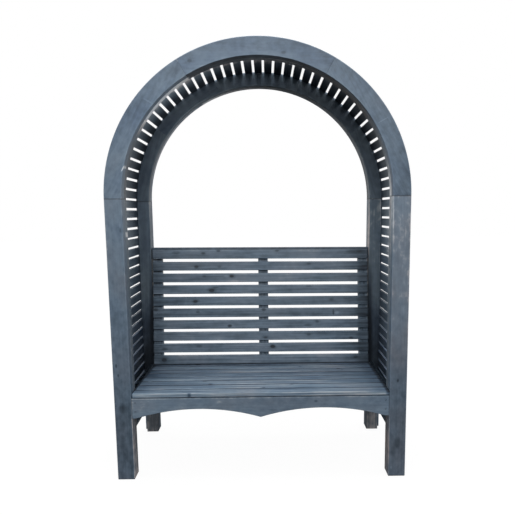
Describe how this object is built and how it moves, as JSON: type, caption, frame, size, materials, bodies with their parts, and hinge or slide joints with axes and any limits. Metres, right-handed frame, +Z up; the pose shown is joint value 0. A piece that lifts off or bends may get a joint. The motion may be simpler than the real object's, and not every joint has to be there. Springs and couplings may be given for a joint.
{
  "type": "arbour seat",
  "caption": "Round-topped timber garden arbour: a slatted bench with a leaning back between two arched frames joined by slats.",
  "frame": {"origin": "on the ground, at the centre of the footprint of the four posts", "axes": "+Z up; the front faces -Y; +X to the right as seen from the front"},
  "size_m": [1.4004, 0.56, 2.056],
  "materials": {
    "slate_stain_frame": "softwood in a translucent slate blue-grey stain, satin",
    "slate_stain_shade": "softwood in the same stain, inner and hidden boards, a little darker",
    "slate_stain_seat": "planed softwood slats in the same stain, satin",
    "bare_dowel": "bare hardwood dowel"
  },
  "bodies": {
    "root": {"front_post_face_left": "slate_stain_frame", "front_post_face_right": "slate_stain_frame", "front_spring_dowel_left": "bare_dowel", "front_spring_dowel_right": "bare_dowel", "front_arch_face_left": "slate_stain_frame", "front_arch_face_top": "slate_stain_frame", "front_arch_face_right": "slate_stain_frame", "rear_post_face_left": "slate_stain_frame", "rear_post_face_right": "slate_stain_frame", "rear_spring_dowel_left": "bare_dowel", "rear_spring_dowel_right": "bare_dowel", "rear_arch_face_left": "slate_stain_frame", "rear_arch_face_top": "slate_stain_frame", "rear_arch_face_right": "slate_stain_frame", "front_post_backing_left": "slate_stain_shade", "front_post_backing_right": "slate_stain_shade", "front_arch_backing_1": "slate_stain_shade", "front_arch_backing_2": "slate_stain_shade", "front_arch_backing_3": "slate_stain_shade", "front_arch_backing_4": "slate_stain_shade", "front_arch_backing_5": "slate_stain_shade", "rear_post_backing_with_side_slats_left": "slate_stain_shade", "rear_post_backing_with_side_slats_right": "slate_stain_shade", "rear_arch_backing_with_slats_1": "slate_stain_shade", "rear_arch_backing_with_slats_2": "slate_stain_shade", "rear_arch_backing_with_slats_3": "slate_stain_shade", "rear_arch_backing_with_slats_4": "slate_stain_shade", "rear_arch_backing_with_slats_5": "slate_stain_shade", "seat_apron": "slate_stain_frame", "seat_side_rail_left": "slate_stain_shade", "seat_side_rail_right": "slate_stain_shade", "seat_cleat_left": "slate_stain_shade", "seat_cleat_right": "slate_stain_shade", "seat_cross_rail": "slate_stain_shade", "seat_centre_bearer": "slate_stain_shade", "seat_slat_1": "slate_stain_seat", "seat_slat_2": "slate_stain_seat", "seat_slat_3": "slate_stain_seat", "seat_slat_4": "slate_stain_seat", "seat_slat_5": "slate_stain_seat", "seat_slat_6": "slate_stain_seat", "seat_slat_7": "slate_stain_seat", "seat_slat_8": "slate_stain_seat", "back_slat_1": "slate_stain_seat", "back_slat_2": "slate_stain_seat", "back_slat_3": "slate_stain_seat", "back_slat_4": "slate_stain_seat", "back_slat_5": "slate_stain_seat", "back_slat_6": "slate_stain_seat", "back_slat_7": "slate_stain_seat", "back_slat_8": "slate_stain_seat", "back_slat_9": "slate_stain_seat", "back_slat_10": "slate_stain_seat", "back_top_rail": "slate_stain_frame", "back_stile_left": "slate_stain_shade", "back_stile_centre": "slate_stain_shade", "back_stile_right": "slate_stain_shade"}
  },
  "joints": []
}
